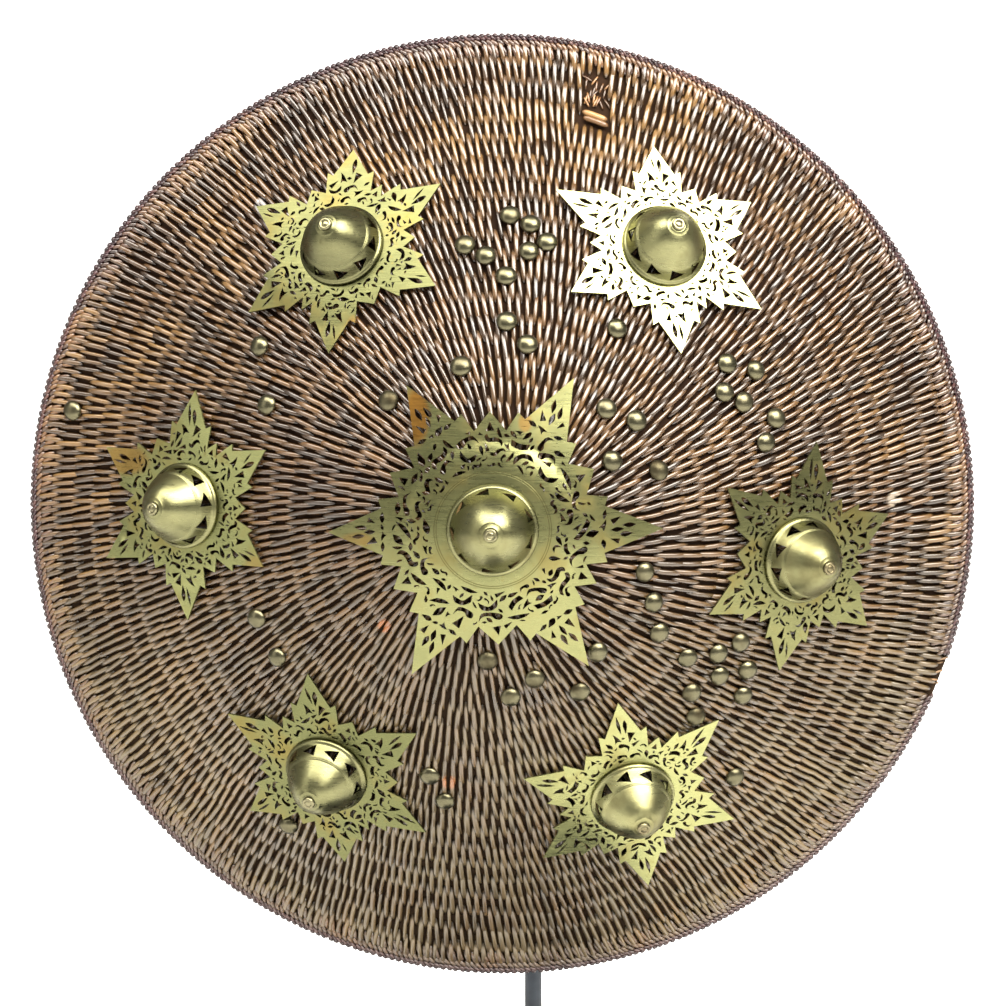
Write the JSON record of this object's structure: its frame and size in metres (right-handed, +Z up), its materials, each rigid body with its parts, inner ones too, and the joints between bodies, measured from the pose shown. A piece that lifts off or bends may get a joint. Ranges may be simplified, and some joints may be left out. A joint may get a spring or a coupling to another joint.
{
  "type": "rattan shield on stand",
  "caption": "Round domed shield of coiled rattan with pierced brass stars, bell-shaped brass bosses and dome-headed nails, upright on a steel rod stand with a square foot.",
  "frame": {"origin": "middle of the stand foot's underside, on the surface that the stand stands on", "axes": "+Z up; the shield's face looks along -Y; +X is to the right of someone who faces the shield"},
  "size_m": [0.661, 0.254, 0.7665],
  "materials": {
    "rattan": "aged, oiled split rattan with a worn gloss",
    "rim_rattan": "dark wrapped rattan border",
    "star_brass": "pierced sheet brass, satin, with patches of brown patina",
    "boss_brass": "turned brass, half polished",
    "nail_brass": "dulled olive brass",
    "grip_rattan": "bent rattan, hand worn",
    "stand_steel": "dark blue-grey satin paint"
  },
  "bodies": {
    "root": {"shell": "rattan", "rim_binding": "rim_rattan", "star_centre": "star_brass", "star_upper_left": "star_brass", "star_upper_right": "star_brass", "star_left": "star_brass", "star_right": "star_brass", "star_lower_left": "star_brass", "star_lower_right": "star_brass", "boss_centre": "boss_brass", "boss_upper_left": "boss_brass", "boss_upper_right": "boss_brass", "boss_left": "boss_brass", "boss_right": "boss_brass", "boss_lower_left": "boss_brass", "boss_lower_right": "boss_brass", "boss_rivet_centre": "nail_brass", "boss_rivet_upper_left": "nail_brass", "boss_rivet_upper_right": "nail_brass", "boss_rivet_left": "nail_brass", "boss_rivet_right": "nail_brass", "boss_rivet_lower_left": "nail_brass", "boss_rivet_lower_right": "nail_brass", "nail_01": "nail_brass", "nail_02": "nail_brass", "nail_03": "nail_brass", "nail_04": "nail_brass", "nail_05": "nail_brass", "nail_06": "nail_brass", "nail_07": "nail_brass", "nail_08": "nail_brass", "nail_09": "nail_brass", "nail_10": "nail_brass", "nail_11": "nail_brass", "nail_12": "nail_brass", "nail_13": "nail_brass", "nail_14": "nail_brass", "nail_15": "nail_brass", "nail_16": "nail_brass", "nail_17": "nail_brass", "nail_18": "nail_brass", "nail_19": "nail_brass", "nail_20": "nail_brass", "nail_21": "nail_brass", "nail_22": "nail_brass", "nail_23": "nail_brass", "nail_24": "nail_brass", "nail_25": "nail_brass", "nail_26": "nail_brass", "nail_27": "nail_brass", "nail_28": "nail_brass", "nail_29": "nail_brass", "nail_30": "nail_brass", "nail_31": "nail_brass", "grip_upper": "grip_rattan", "grip_lower": "grip_rattan", "stand_foot": "stand_steel", "stand_rod": "stand_steel", "stand_hook": "stand_steel", "stand_prop": "stand_steel"}
  },
  "joints": []
}
